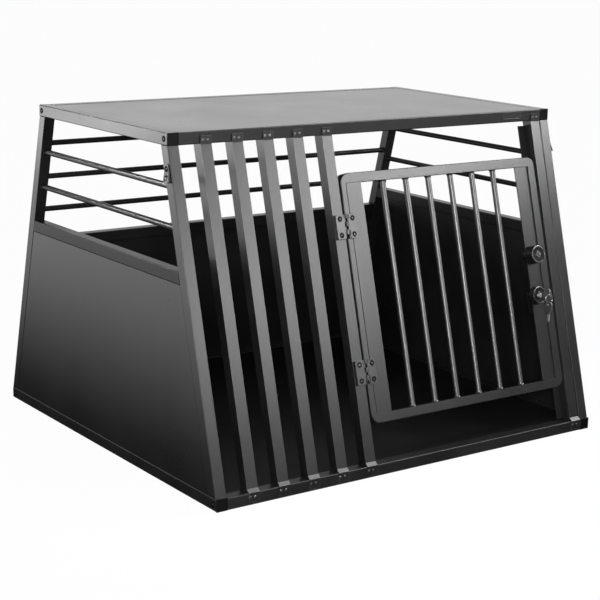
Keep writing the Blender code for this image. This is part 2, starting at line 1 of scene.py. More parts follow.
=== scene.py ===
"""How the car dog crate looks. The frame's tubes, sheet, bars, door, hinges, locks and keys get
their finishes and their small parts here, in the order in which the crate is put together."""
from math import atan2, cos, pi, radians, sin

import bmesh
import bpy
from mathutils import Matrix, Vector

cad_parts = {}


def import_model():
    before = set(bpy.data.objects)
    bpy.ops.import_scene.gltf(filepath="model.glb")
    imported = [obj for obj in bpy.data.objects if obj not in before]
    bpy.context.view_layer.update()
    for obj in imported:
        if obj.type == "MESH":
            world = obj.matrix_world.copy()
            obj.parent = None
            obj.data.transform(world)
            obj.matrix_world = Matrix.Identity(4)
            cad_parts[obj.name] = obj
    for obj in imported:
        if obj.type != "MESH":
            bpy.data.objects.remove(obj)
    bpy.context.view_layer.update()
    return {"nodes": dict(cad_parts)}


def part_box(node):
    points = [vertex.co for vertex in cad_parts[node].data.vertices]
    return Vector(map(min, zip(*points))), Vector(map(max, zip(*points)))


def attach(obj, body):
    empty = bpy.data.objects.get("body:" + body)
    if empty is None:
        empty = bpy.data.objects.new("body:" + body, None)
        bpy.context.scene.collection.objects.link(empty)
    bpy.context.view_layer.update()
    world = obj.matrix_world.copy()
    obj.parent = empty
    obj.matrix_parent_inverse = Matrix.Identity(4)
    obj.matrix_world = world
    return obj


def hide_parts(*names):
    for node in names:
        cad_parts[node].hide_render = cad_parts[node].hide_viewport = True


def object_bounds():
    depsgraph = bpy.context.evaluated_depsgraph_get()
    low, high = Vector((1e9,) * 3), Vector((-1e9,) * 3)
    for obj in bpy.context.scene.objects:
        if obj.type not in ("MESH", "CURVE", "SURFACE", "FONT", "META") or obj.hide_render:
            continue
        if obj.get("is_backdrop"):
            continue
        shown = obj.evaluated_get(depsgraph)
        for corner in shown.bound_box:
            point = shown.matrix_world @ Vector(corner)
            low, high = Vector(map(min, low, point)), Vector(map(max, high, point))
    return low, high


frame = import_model()

# The frame is square steel tube, welded and then powder coated in satin black. The coat has a fine
# orange peel, and its tone and gloss drift a little along a tube. The edges are paler, partly rubbed
# wear and partly a painted highlight for the bright lines along them. The rails at mid height have a
# copy of the coat with less sheen, which paints them as if in less light.
PEEL_SCALE = 260.0
GRAIN_SCALE = 1100.0
GRAIN_SHARE = 0.45
EDGE_BAND_WIDTH = 0.0012
EDGE_BAND_AMOUNT = 0.4
GLOSS_DRIFT = 0.02
MERGE = 0.000005


def node_group(name, sockets_in, sockets_out):
    """Start a group of shader nodes, with inputs of (name, type, value) and outputs by name."""
    made = bpy.data.node_groups.new(name, "ShaderNodeTree")
    for label, kind, value in sockets_in:
        socket = made.interface.new_socket(name=label, in_out="INPUT", socket_type=kind)
        if value is not None:
            socket.default_value = value
    for label in sockets_out:
        made.interface.new_socket(name=label, in_out="OUTPUT", socket_type="NodeSocketFloat")
    return made, made.nodes.new("NodeGroupInput").outputs, made.nodes.new("NodeGroupOutput").inputs


def feed(tree, socket, value):
    """Link a node's output to a socket, or set the socket to a plain value."""
    if isinstance(value, bpy.types.NodeSocket):
        tree.links.new(value, socket)
    else:
        socket.default_value = value


def add(tree, kind, *values, **settings):
    """Add a node with its settings, and feed its first inputs in order."""
    node = tree.nodes.new("ShaderNode" + kind)
    for key, value in settings.items():
        setattr(node, key, value)
    for socket, value in zip(node.inputs, values):
        if value is not None:
            feed(tree, socket, value)
    return node


def noise(tree, place, scale, detail=2.0, roughness=0.5):
    """A soft random pattern, with this many patches to the metre."""
    return add(tree, "TexNoise", place, None, scale, detail, roughness).outputs[0]


def spread(tree, value, start, end, low, high):
    """Draw a value's run from start to end out over low to high."""
    return add(tree, "MapRange", value, start, end, low, high).outputs[0]


def reckon(tree, operation, *values):
    """Work out one value from others."""
    return add(tree, "Math", *values, operation=operation).outputs[0]


def blend(tree, share, low, high):
    """A colour between two others, by a share from 0 to 1."""
    node = add(tree, "Mix", share, data_type="RGBA")
    feed(tree, node.inputs[6], low)
    feed(tree, node.inputs[7], high)
    return node.outputs[2]


coat, given, result = node_group("coat", (("Place", "NodeSocketVector", None),
                                          ("Peel", "NodeSocketFloat", PEEL_SCALE),
                                          ("Grain", "NodeSocketFloat", GRAIN_SCALE)),
                                 ("Height", "Tone", "Speckle"))
peel = noise(coat, given["Place"], given["Peel"])
grain = noise(coat, given["Place"], given["Grain"], detail=1.0)
feed(coat, result["Height"], reckon(coat, "MULTIPLY_ADD", grain, GRAIN_SHARE, peel))
feed(coat, result["Tone"], noise(coat, given["Place"], 6.0, detail=4.0, roughness=0.6))
feed(coat, result["Speckle"], grain)

# An edge band that pales the edges, as rubbed wear and, on the frame, as a painted highlight.
edge_band, given, result = node_group("edge_band", (("Place", "NodeSocketVector", None),
                                                  ("Width", "NodeSocketFloat", EDGE_BAND_WIDTH),
                                                  ("Amount", "NodeSocketFloat", EDGE_BAND_AMOUNT)), ("Mask",))
rolled = add(edge_band, "Bevel", given["Width"], samples=4)
facing = add(edge_band, "NewGeometry")
together = add(edge_band, "VectorMath", rolled.outputs[0], facing.outputs["Normal"], operation="DOT_PRODUCT")
bend = spread(edge_band, together.outputs["Value"], 0.72, 0.995, 1.0, 0.0)
scuffs = noise(edge_band, given["Place"], 55.0, detail=5.0, roughness=0.65)
edge_marks = reckon(edge_band, "MULTIPLY", bend, spread(edge_band, scuffs, 0.40, 0.66, 0.15, 1.0))
feed(edge_band, result["Mask"], reckon(edge_band, "MULTIPLY", edge_marks, given["Amount"]))


def surface(name):
    """Start a material: its nodes, its shader, and the place on the piece that its patterns read."""
    made = bpy.data.materials.new(name)
    made.use_nodes = True
    tree = made.node_tree
    return made, tree, tree.nodes["Principled BSDF"], add(tree, "TexCoord").outputs["Object"]


def painted(name, dark, light, gloss, depth, shine=0.32, rubbed_and_highlight=0.10, bare=0.0):
    """A coated or moulded black surface, from its two tones, its roughness and its peel's depth. An edge
    is paler, as rubbed wear and, on the frame, as a painted highlight; where it is bare it shines like metal."""
    made, tree, shader, place = surface(name)
    film = add(tree, "Group", node_tree=coat)
    feed(tree, film.inputs["Place"], place)
    edge = add(tree, "Group", node_tree=edge_band)
    feed(tree, edge.inputs["Place"], place)
    body = blend(tree, spread(tree, film.outputs["Tone"], 0.35, 0.65, 0.0, 1.0), (*dark, 1), (*light, 1))
    body = blend(tree, spread(tree, film.outputs["Speckle"], 0.5, 0.8, 0.0, 0.35), body, (*light, 1))
    body = blend(tree, edge.outputs["Mask"], body, (rubbed_and_highlight, rubbed_and_highlight, rubbed_and_highlight, 1))
    feed(tree, shader.inputs["Base Color"], body)
    if bare:
        feed(tree, shader.inputs["Metallic"], reckon(tree, "MULTIPLY", edge.outputs["Mask"], bare))
    feed(tree, shader.inputs["Roughness"], spread(tree, film.outputs["Tone"], 0.3, 0.7,
                                                  gloss - GLOSS_DRIFT, gloss + GLOSS_DRIFT))
    bump = add(tree, "Bump", 1.0, depth)
    feed(tree, bump.inputs["Height"], film.outputs["Height"])
    feed(tree, shader.inputs["Normal"], bump.outputs[0])
    shader.inputs["Specular IOR Level"].default_value = shine
    return made


def finished(name, bm, finish, body, slot, *stands_for, sharp=50):
    """Make a shape a piece with its finish, let it ride on its body, and hide what it stands for."""
    bmesh.ops.remove_doubles(bm, verts=bm.verts, dist=MERGE)
    bmesh.ops.recalc_face_normals(bm, faces=bm.faces)
    for face in bm.faces:
        face.smooth = True
    for edge in bm.edges:
        edge.smooth = edge.smooth and edge.calc_face_angle(0) < radians(sharp)
    mesh = bpy.data.meshes.new(name)
    bm.to_mesh(mesh)
    bm.free()
    mesh.materials.append(finish)
    made = bpy.data.objects.new(name, mesh)
    bpy.context.collection.objects.link(made)
    flats = made.modifiers.new("flats", "WEIGHTED_NORMAL")
    flats.keep_sharp = True
    flats.weight = 100
    flats.thresh = 0.0
    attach(made, body)
    if stands_for:
        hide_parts(*stands_for)
    return made


def merged(node, bent=False):
    """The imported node's own shape, merged. Where a bar is bent, the bends across it stay crisp."""
    bm = bmesh.new()
    bm.from_mesh(frame["nodes"][node].data)
    bmesh.ops.remove_doubles(bm, verts=bm.verts, dist=MERGE)
    for edge in bm.edges:
        run = edge.verts[1].co - edge.verts[0].co
        edge.smooth = not (bent and abs(run.x) > 0.9 * run.length)
    return bm


def smoothed(node, finish, body, slot):
    """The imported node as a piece, whose rolled edges shade as one smooth turn."""
    return finished(node + "_coated", merged(node), finish, body, slot, node)


# The frame's edges are much paler, as rubbed wear and as a painted highlight along the rolled edges.
frame_paint = painted("frame_paint", (0.006, 0.006, 0.0063), (0.011, 0.011, 0.0114), gloss=0.30,
                      depth=0.00004, rubbed_and_highlight=0.35, bare=1.0)
# A copy of the frame's coat with less sheen, a painted shade that keeps the rails and bars at mid height
# darker.
mid_paint = painted("mid_paint", (0.006, 0.006, 0.0063), (0.010, 0.010, 0.0104), gloss=0.34, depth=0.00004,
                    shine=0.13)
roof_rails = []
for node in sorted(frame["nodes"]):
    if node.endswith(("_rail", "left_post", "right_post")):
        tube = smoothed(node, mid_paint if "_mid_" in node else frame_paint, "crate", "frame_paint")
        if node.startswith("roof_"):
            roof_rails.append(tube)

# Plastic caps close the open front ends of the side rails. They are moulded in matt black, with a
# shallow panel in the face, and a plug behind it grips the tube.
CAP_PLATE = 0.0025
CAP_EDGE = 0.0009
CAP_RIM = 0.0026
CAP_SUNK = 0.0005
PLUG_INSET = 0.0022
NEAR = 0.0001
cap_plastic = painted("cap_plastic", (0.002, 0.002, 0.002), (0.004, 0.004, 0.004), gloss=0.50, depth=0.00003,
                      shine=0.06, rubbed_and_highlight=0.02)


def block(low, high):
    """A box between two opposite corners."""
    low, high = Vector(low), Vector(high)
    bm = bmesh.new()
    size = Matrix.Diagonal((*(high - low), 1))
    bmesh.ops.create_cube(bm, size=1, matrix=Matrix.Translation((low + high) / 2) @ size)
    return bm


def before(bm, depth):
    """The edges of a shape that lie wholly in front of a depth."""
    return [edge for edge in bm.edges if all(vert.co.y < depth for vert in edge.verts)]


def front_of(bm):
    """The faces of a shape that look straight to the front."""
    return [face for face in bm.faces if face.normal.y < -0.99]


def soften(bm, edges, radius, segments=3):
    """Round some edges of a shape."""
    bmesh.ops.bevel(bm, geom=edges, offset=radius, segments=segments, profile=0.5, affect="EDGES",
                    material=-1, clamp_overlap=True)


def placed(bm, shape, spot=None):
    """Add a copy of a shape to another one, at a place."""
    first = len(bm.verts)
    copy = bpy.data.meshes.new("copy")
    shape.to_mesh(copy)
    bm.from_mesh(copy)
    bpy.data.meshes.remove(copy)
    bm.verts.ensure_lookup_table()
    if spot:
        bmesh.ops.transform(bm, matrix=spot, verts=bm.verts[first:])


for node in ("base_left_cap", "base_right_cap", "roof_left_cap", "roof_right_cap"):
    low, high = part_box(node)
    back = low.y + CAP_PLATE
    bm = block(low, (high.x, back, high.z))
    soften(bm, before(bm, back - NEAR), CAP_EDGE)
    face = front_of(bm)
    bmesh.ops.inset_region(bm, faces=face, thickness=CAP_RIM)
    bmesh.ops.inset_region(bm, faces=face, thickness=CAP_SUNK, depth=-CAP_SUNK)
    plug = block((low.x + PLUG_INSET, back, low.z + PLUG_INSET),
                 (high.x - PLUG_INSET, high.y, high.z - PLUG_INSET))
    placed(bm, plug)
    plug.free()
    finished(node + "_moulded", bm, cap_plastic, "crate", "cap_plastic", node)

# The floor, roof, side and rear panels are steel sheet, coated like the tubes but a little
# smoother, and set slightly deeper than the tubes around them. The floor's coat is a rougher one.
panel_paint = painted("panel_paint", (0.006, 0.006, 0.0063), (0.010, 0.010, 0.0104), gloss=0.29,
                      depth=0.00003)
floor_paint = painted("floor_paint", (0.004, 0.004, 0.004), (0.007, 0.007, 0.007), gloss=0.45, depth=0.00008,
                      shine=0.06, rubbed_and_highlight=0.03)


def show(node, finish):
    """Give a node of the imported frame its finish, in the slots that it came with."""
    slots = frame["nodes"][node].data.materials
    for number in range(len(slots)):
        slots[number] = finish


for node in ("roof_panel", "left_panel", "right_panel", "rear_panel"):
    show(node, panel_paint)
show("floor_panel", floor_paint)

# Round steel bars close the upper side and rear walls. They are cut to length and welded to the
# posts with a small bead all round, and coated as the rails at mid height, with less sheen as painted shade.
BAR_RADIUS = 0.006
BEAD = ((0.0, 0.0), (0.0070, 0.0), (0.0076, 0.0007), (0.0074, 0.0016), (0.0067, 0.0026), (0.0062, 0.0036),
        (BAR_RADIUS, 0.0048))


def turned(profile, steps):
    """A turned shape round +Z, from points of radius and height along its outline."""
    bm = bmesh.new()
    points = [bm.verts.new((radius, 0, height)) for radius, height in profile]
    for near, far in zip(points, points[1:]):
        bm.edges.new((near, far))
    bmesh.ops.spin(bm, geom=bm.verts[:] + bm.edges[:], cent=(0, 0, 0), axis=(0, 0, 1), angle=2 * pi,
                   steps=steps, use_merge=True)
    bmesh.ops.remove_doubles(bm, verts=bm.verts, dist=MERGE)
    return bm


def aimed(point, way):
    """The place of a shape whose +Z is to point a given way."""
    return Matrix.Translation(point) @ Vector(way).to_track_quat("Z", "Y").to_matrix().to_4x4()


def into(shape, spot):
    """Move a shape to its place."""
    bmesh.ops.transform(shape, matrix=spot, verts=shape.verts)
    return shape


def round_bar(node, start, end, body, finish):
    """A welded round bar between two points."""
    start, end = Vector(start), Vector(end)
    length = (end - start).length
    bm = turned([*BEAD, *((radius, length - height) for radius, height in reversed(BEAD))], 32)
    finished(node + "_welded", into(bm, aimed(start, end - start)), finish, body, "frame_paint", node)


for node in sorted(frame["nodes"]):
    low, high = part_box(node)
    middle = (low + high) / 2
    if "_side_bar_" in node:
        round_bar(node, (middle.x, low.y, middle.z), (middle.x, high.y, middle.z), "crate", mid_paint)
    if "rear_bar_" in node:
        round_bar(node, (low.x, middle.y, middle.z), (high.x, middle.y, middle.z), "crate", mid_paint)

# A screw holds each end of a side rail. It sits in a matt black cup with no sheen, a painted shade
# that stands for the dark recess round its head, and is a low pan head with a six-point socket, in
# plated steel.
SCREW = ((0, 0.0002), (0.0009, 0.0002), (0.0010, 0.0008), (0.0015, 0.0010), (0.0020, 0.0008),
         (0.0023, 0.0003), (0.0024, -0.0003), (0, -0.0003))
SHADE_CUP = ((0.0024, -0.0002), (0.0025, 0.0001), (0.0048, 0.0001), (0.0051, 0.0005), (0.0057, 0.0005),
       (0.0060, 0.0001), (0.0061, -0.0002), (0.0024, -0.0002))
SOCKET_REACH = 0.0011
SOCKET_TOP = 0.0009
SOCKET_SWELL = 0.22
CAP_REACH = 0.0028
SIDE_SCREW_FRONT = 0.0145
SIDE_SCREW_REAR = 0.0110

plating, given, result = node_group("plating", (("Place", "NodeSocketVector", None),
                                                ("Scale", "NodeSocketFloat", 900.0)), ("Stains", "Grain"))
coarse = reckon(plating, "DIVIDE", given["Scale"], 8.0)
patches = noise(plating, given["Place"], coarse, detail=4.0, roughness=0.6)
feed(plating, result["Stains"], spread(plating, patches, 0.4, 0.65, 0.0, 1.0))
feed(plating, result["Grain"], noise(plating, given["Place"], given["Scale"], detail=3.0, roughness=0.6))


def metal(name, colour, stained, gloss, rough, depth, scale):
    """A bare or plated metal surface with a fine grain, and darker stains in patches."""
    made, tree, shader, place = surface(name)
    edge = add(tree, "Group", node_tree=edge_band)
    feed(tree, edge.inputs["Place"], place)
    plate = add(tree, "Group", node_tree=plating)
    feed(tree, plate.inputs["Place"], place)
    feed(tree, plate.inputs["Scale"], scale)
    body = blend(tree, plate.outputs["Stains"], (*colour, 1), (*stained, 1))
    body = blend(tree, edge.outputs["Mask"], body, (*(min(1, 1.5 * part) for part in colour), 1))
    feed(tree, shader.inputs["Base Color"], body)
    feed(tree, shader.inputs["Roughness"], spread(tree, plate.outputs["Stains"], 0.0, 1.0, gloss, rough))
    bump = add(tree, "Bump", 1.0, depth)
    feed(tree, bump.inputs["Height"], plate.outputs["Grain"])
    feed(tree, shader.inputs["Normal"], bump.outputs[0])
    shader.inputs["Metallic"].default_value = 1.0
    return made


screw_steel = metal("screw_steel", (0.13, 0.13, 0.132), (0.07, 0.07, 0.07), gloss=0.30, rough=0.45,
                    depth=0.00002, scale=900)
# A black with no sheen, a painted shade for the screws' recesses and the gaps between the knuckles.
painted_shade_black = painted("painted_shade_black", (0.0015, 0.0015, 0.0015), (0.003, 0.003, 0.003), gloss=0.70, depth=0.00002,
                    shine=0.0, rubbed_and_highlight=0.01)


def starred(bm):
    """Draw a screw's round socket into six points."""
    for vert in bm.verts:
        if 0.0002 < vert.co.xy.length < SOCKET_REACH and vert.co.z < SOCKET_TOP:
            vert.co.xy *= 1 + SOCKET_SWELL * cos(6 * atan2(vert.co.y, vert.co.x))


def screws(name, spots, body, slot, size=1.0):
    """Screws in black cups that paint the shade of their recesses, at some places."""
    for kind, profile, finish in (("heads", SCREW, screw_steel), ("shade_cups", SHADE_CUP, painted_shade_black)):
        shape = turned(profile, 36)
        if kind == "heads":
            starred(shape)
        bmesh.ops.scale(shape, vec=(size, size, 1), verts=shape.verts)
        bm = bmesh.new()
        for spot in spots:
            placed(bm, shape, spot)
        shape.free()
        finished(f"{name}_{kind}", bm, finish, body, slot)


spots = []
for node in ("base_left_rail", "base_right_rail", "roof_left_rail", "roof_right_rail"):
    low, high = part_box(node)
    outer, way = (low.x, (-1, 0, 0)) if "left" in node else (high.x, (1, 0, 0))
    for depth in (low.y - CAP_REACH + SIDE_SCREW_FRONT, high.y - SIDE_SCREW_REAR):
        spots.append(aimed((outer, depth, (low.z + high.z) / 2), way))
screws("side_rail_screw", spots, "crate", "frame_paint")

# Leaning square bars fill the front wall beside the door. Their front faces run on as tabs onto the
# rails, bent out at the foot, and two blind rivets fix each tab. A tab bends at the roof rail's edge.
RIVET = ((0, -0.0001), (0.0008, -0.0001), (0.0009, 0.0006), (0.0014, 0.0008), (0.0021, 0.0006),
         (0.0027, 0.0001), (0.0028, -0.0003), (0, -0.0003))
RIVET_SPACING = 0.0112
RIVET_PROUD = 0.0009
ROOF_RIVETS = 0.0083
ROOF_RIVETS_LEFT = 0.0020
FOOT_RIVETS = -0.0085
FOOT_RIVETS_LEFT = 0.0037
TAB_SHEET = 0.0020
TAB_FACE = 0.0023
SOLID_BEND = (0.0005, 0.0095)
BEND_DROP = 0.0010
rivet_steel = metal("rivet_steel", (0.20, 0.20, 0.20), (0.10, 0.10, 0.10), gloss=0.30, rough=0.45,
                    depth=0.00002, scale=900)
rivets = bmesh.new()
rivet = turned(RIVET, 24)
roof_low, roof_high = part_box("roof_front_rail")
base_low, base_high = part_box("base_front_rail")
for node in ("front_bar_1", "front_bar_2", "front_bar_3", "front_bar_4", "hinge_post", "lock_post"):
    low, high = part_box(node)
    bm = merged(node, bent=True)
    for vert in bm.verts:
        if vert.co.y < low.y + NEAR:
            vert.co.y += RIVET_PROUD
        drop = roof_low.z - vert.co.z
        if vert.co.y < roof_low.y - TAB_SHEET and SOLID_BEND[0] < drop < SOLID_BEND[1]:
            vert.co.z = roof_low.z - BEND_DROP
    finished(node + "_coated", bm, frame_paint, "crate", "frame_paint", node)
    across = (low.x + high.x) / 2
    for side in (-0.5, 0.5):
        for left, face, height in ((ROOF_RIVETS_LEFT, roof_low.y - TAB_FACE, roof_low.z + ROOF_RIVETS),
                                   (FOOT_RIVETS_LEFT, low.y + RIVET_PROUD, base_high.z + FOOT_RIVETS)):
            placed(rivets, rivet, aimed((across - left + side * RIVET_SPACING, face, height), (0, -1, 0)))
rivet.free()
finished("bar_rivets", rivets, rivet_steel, "crate", "frame_paint")

# A small bent strap is screwed to the outer side of each front post. It lies flat above, slants out
# below, and has a foot that runs back to the post. Its upper corners are rounded, its edges broken.
FRONT_SLOPE = 0.27769
STRAP_SHEET = 0.002
STRAP_MIDDLE = 0.009
STRAP_CORNER = 0.004
STRAP_EDGE = 0.0004
STRAP_SCREWS = ((0.0098, 0.0), (0.0265, 0.0035))
STRAP_SCREW_TILT = 0.3


def crisp(bm):
    """The edges of a shape at which its surface turns sharply."""
    return [edge for edge in bm.edges if edge.calc_face_angle(0) > 1.2]


def runs(edge, axis):
    """Whether an edge runs along an axis, and not only across it."""
    return abs(edge.verts[0].co[axis] - edge.verts[1].co[axis]) > NEAR


for side, node in ((-1, "left_bracket"), (1, "right_bracket")):
    bm = merged(node)
    low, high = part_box(node)
    for vert in bm.verts:
        vert.co.y -= FRONT_SLOPE * (vert.co.z - high.z)
    front = min(vert.co.y for vert in bm.verts)
    bmesh.ops.dissolve_limit(bm, angle_limit=0.01, verts=bm.verts, edges=bm.edges)
    corners = [edge for edge in crisp(bm)
               if runs(edge, 0) and all(vert.co.z > high.z - NEAR for vert in edge.verts)]
    soften(bm, corners, STRAP_CORNER, 5)
    soften(bm, crisp(bm), STRAP_EDGE, 2)
    for vert in bm.verts:
        vert.co.y += FRONT_SLOPE * (vert.co.z - high.z)
    finished(node + "_strap", bm, frame_paint, "crate", "frame_paint", node)
    outer = side * (min(abs(low.x), abs(high.x)) + STRAP_SHEET)
    spots = []
    for drop, out in STRAP_SCREWS:
        middle = (outer + side * out, front + STRAP_MIDDLE - FRONT_SLOPE * drop, high.z - drop)
        spots.append(aimed(middle, (side, 0, STRAP_SCREW_TILT if out else 0)))
    screws(node + "_screw", spots, "crate", "frame_paint", size=0.95)

# A blank plate is stuck to the front roof rail, above the lock side. It is pressed from thin sheet,
# with rounded corners and a low rim, and coated with the frame.
PLATE_LOW = Vector((0.3560, -0.2583, 0.6825))
PLATE_HIGH = Vector((0.4110, -0.2577, 0.6975))
PLATE_CORNER = 0.0015
PLATE_RIM = 0.0009
PLATE_STEP = 0.0002
PLATE_SUNK = 0.00025
bm = block(PLATE_LOW, PLATE_HIGH)
soften(bm, [edge for edge in bm.edges if runs(edge, 1)], PLATE_CORNER, 5)
face = front_of(bm)
bmesh.ops.inset_region(bm, faces=face, thickness=PLATE_RIM)
bmesh.ops.inset_region(bm, faces=face, thickness=PLATE_STEP, depth=-PLATE_SUNK)
finished("blank_plate", bm, frame_paint, "crate", "frame_paint")

# The door is a welded ring of square tube with rounded corners. A plate closes each side of its
# opening, and six round bars stand between the plates, in a copy of the coat with more sheen, which
# paints brighter highlights on them. The door leans with the front wall, so its parts are placed in
# the wall's own frame: across, out to the rear, and up.
LEAN = radians(15.51956)
WALL_FOOT = (0, -0.4382, 0.025)
wall = Matrix.Translation(WALL_FOOT) @ Matrix.Rotation(-LEAN, 4, "X")
BARS_MIDDLE = 0.010
BARS_LOW = 0.0998
BARS_HIGH = 0.5748
# A copy of the frame's coat with much more sheen, a painted highlight for the bright streaks on the door's
# bars.
bar_highlight_paint = painted("bar_highlight_paint", (0.006, 0.006, 0.0063), (0.010, 0.010, 0.0104), gloss=0.32, depth=0.00001,
                    shine=0.85)
smoothed("door_frame", frame_paint, "door", "frame_paint")
show("hinge_stile", frame_paint)
show("lock_stile", frame_paint)
for number in range(1, 7):
    low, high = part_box(f"door_bar_{number}")
    across = (low.x + high.x) / 2
    round_bar(f"door_bar_{number}", wall @ Vector((across, BARS_MIDDLE, BARS_LOW)),
              wall @ Vector((across, BARS_MIDDLE, BARS_HIGH)), "door", bar_highlight_paint)

# An angle strip behind the lock side stops the door. It is covered in matt black rubber, whose
# surface is rougher than the coated steel.
stop_rubber = painted("stop_rubber", (0.005, 0.005, 0.005), (0.009, 0.009, 0.009), gloss=0.62, depth=0.00006,
                      shine=0.25, rubbed_and_highlight=0.03)
show("door_stop", stop_rubber)

# Two thick cast hinges carry the door, each with a leaf on the post and one on the door, coated in
# black. Short knuckles turn on a pin in a black with no sheen, which paints the shade in the gaps
# between them, and screws in black cups of painted shade hold the leaves.
# A groove runs down the door's leaf beside its knuckle, behind a thin lip.
HINGES = (("upper", 0.4861), ("lower", 0.1885))
HINGE_AXIS = Vector((-0.10675, -0.0085, 0))
LEAF_HALF = 0.025
LEAF_FACE = -0.0080
LEAF_BACK = -0.0003
LEAF_INNER = 0.0046
LEAF_OUTER = {"post": 0.0265, "door": 0.023}
LEAF_CORNER = 0.0022
LEAF_EDGE = 0.0008
GROOVE = 0.0016
GROOVE_FLOOR = 0.0022
LEAF_LIP = (0.0036, 0.0050)
LIP_SUNK = 0.0002
LIP_BACK = 0.0003
KNUCKLES = {"post": ((0.0168, LEAF_HALF), (-0.0162, -0.0065)), "door": ((0.0003, 0.0096),)}
KNUCKLE_RADIUS = 0.004
KNUCKLE_EDGE = 0.0004
KNUCKLE_PROUD = 0.0005
KNUCKLE_OUTER = 0.0062
KNUCKLE_BACK = LEAF_BACK - 0.0012
WINDOWS = ((0.0099, 0.0162), (-0.0062, -0.0003))
WINDOW_OUTER = 0.0030
PIN_RADIUS = 0.0015
PIN_FOOT = -0.0190
PIN_EDGE = 0.0003
LEAF_SCREWS = 0.0165
LEAF_SCREW_SHIFT = {"post": -0.0008, "door": 0.0016}
hinge_coat = painted("hinge_coat", (0.008, 0.008, 0.0083), (0.014, 0.014, 0.0144), gloss=0.31, depth=0.00005,
                     shine=0.36, rubbed_and_highlight=0.14)


def joined(name, shapes, spot):
    """Join closed shapes into one skin, and give it its place."""
    first = None
    for number, shape in enumerate(shapes):
        mesh = bpy.data.meshes.new(f"{name}_{number}")
        bmesh.ops.recalc_face_normals(shape, faces=shape.faces)
        shape.to_mesh(mesh)
        shape.free()
        part = bpy.data.objects.new(f"{name}_{number}", mesh)
        bpy.context.collection.objects.link(part)
        if first is None:
            first = part
            continue
        step = first.modifiers.new("join", "BOOLEAN")
        step.operation = "UNION"
        step.solver = "EXACT"
        step.object = part
        bpy.context.view_layer.update()
        shown = first.evaluated_get(bpy.context.evaluated_depsgraph_get())
        mesh = bpy.data.meshes.new_from_object(shown)
        first.modifiers.clear()
        first.data = mesh
        bpy.data.objects.remove(part)
    bm = bmesh.new()
    bm.from_mesh(first.data)
    bpy.data.objects.remove(first)
    return into(bm, spot)


def rod(radius, low_end, high_end, corner, steps):
    """A round rod on the hinge's axis, with its ends broken by a small corner."""
    bm = turned(((0, low_end), (radius - corner, low_end), (radius, low_end + corner),
                 (radius, high_end - corner), (radius - corner, high_end), (0, high_end)), steps)
    bmesh.ops.translate(bm, verts=bm.verts, vec=(0, HINGE_AXIS.y, 0))
    return bm


def strip(side, near, far, front, back, low_end, high_end):
    """A box on one side of the hinge's axis, between two distances from it."""
    edges = sorted((side * near, side * far))
    return block((edges[0], front, low_end), (edges[1], back, high_end))


def leaf(kind, side):
    """The closed shapes that make up one leaf: its plate, the door's groove and lip, and its knuckles."""
    outer = LEAF_OUTER[kind]
    inner = LEAF_INNER + (GROOVE if kind == "door" else 0)
    plate = strip(side, inner, outer, LEAF_FACE, LEAF_BACK, -LEAF_HALF, LEAF_HALF)
    corners = [edge for edge in plate.edges
               if runs(edge, 1) and all(abs(vert.co.x - side * outer) < NEAR for vert in edge.verts)]
    soften(plate, corners, LEAF_CORNER, 5)
    soften(plate, before(plate, LEAF_FACE + NEAR), LEAF_EDGE)
    shapes = [plate]
    if kind == "door":
        shapes.append(strip(side, LEAF_INNER, LEAF_INNER + 2 * GROOVE, LEAF_BACK - GROOVE_FLOOR, LEAF_BACK,
                            -LEAF_HALF, LEAF_HALF))
        shapes.append(strip(side, *LEAF_LIP, LEAF_FACE + LIP_SUNK, LEAF_BACK - LIP_BACK,
                            LIP_SUNK - LEAF_HALF, LEAF_HALF - LIP_SUNK))
    for ends in WINDOWS:
        shapes.append(strip(side, WINDOW_OUTER, KNUCKLE_OUTER, LEAF_FACE, KNUCKLE_BACK, *ends))
    for ends in KNUCKLES[kind]:
        shapes.append(strip(side, 0, KNUCKLE_OUTER, LEAF_FACE - KNUCKLE_PROUD, KNUCKLE_BACK, *ends))
        shapes.append(rod(KNUCKLE_RADIUS, *ends, KNUCKLE_EDGE, 32))
    return shapes


for level, up in HINGES:
    spot = wall @ Matrix.Translation((HINGE_AXIS.x, 0, up))
    for kind, side, body in (("post", -1, "crate"), ("door", 1, "door")):
        name = f"{level}_{kind}_leaf"
        cast = joined(name, leaf(kind, side), spot)
        finished(name + "_cast", cast, hinge_coat, body, "hinge_metal", name, sharp=35)
        middle = side * (LEAF_INNER + LEAF_OUTER[kind]) / 2 + LEAF_SCREW_SHIFT[kind]
        spots = [spot @ aimed((middle, LEAF_FACE, height), (0, -1, 0))
                 for height in (-LEAF_SCREWS, LEAF_SCREWS)]
        screws(name + "_screw", spots, body, "hinge_metal", size=0.92)
    pin = into(rod(PIN_RADIUS, PIN_FOOT, LEAF_HALF, PIN_EDGE, 20), spot)
    # The pin's black paints the shade in the gaps between the knuckles.
    finished(f"{level}_hinge_pin", pin, painted_shade_black, "crate", "hinge_metal")

# Two cylinder locks hold the door. Each has a fixed black collar, and a knob with a steel face ring
# and a keyed plug in a dished middle, which turns the cam behind the door's plate.
LOCKS = (("upper", 0.3783, 0.020), ("lower", 0.2883, 0.0075))
LOCK_ACROSS = 0.3937
COLLAR_BACK = 0.0032
COLLAR_FACE = 0.0008
COLLAR_RADIUS = 0.021
COLLAR_BORE = 0.0068
KNOB_BACK = -0.0011
KNOB_RADIUS = 0.020
DISH_RADIUS = KNOB_RADIUS - 0.0044
SPINDLE_RADIUS = 0.0065
SPINDLE_END = -0.0297
CAM_LOW = (-0.007, -0.040, -0.0277)
CAM_HIGH = (0.007, 0.007, -0.0247)
CAM_CORNER = 0.004
PLUG_RADIUS = 0.0075
lock_black = painted("lock_black", (0.005, 0.005, 0.005), (0.009, 0.009, 0.009), gloss=0.30, depth=0.00001,
                     shine=0.09, rubbed_and_highlight=0.03)
lock_steel = metal("lock_steel", (0.11, 0.11, 0.112), (0.06, 0.06, 0.061), gloss=0.20, rough=0.32,
                   depth=0.00001, scale=1500)
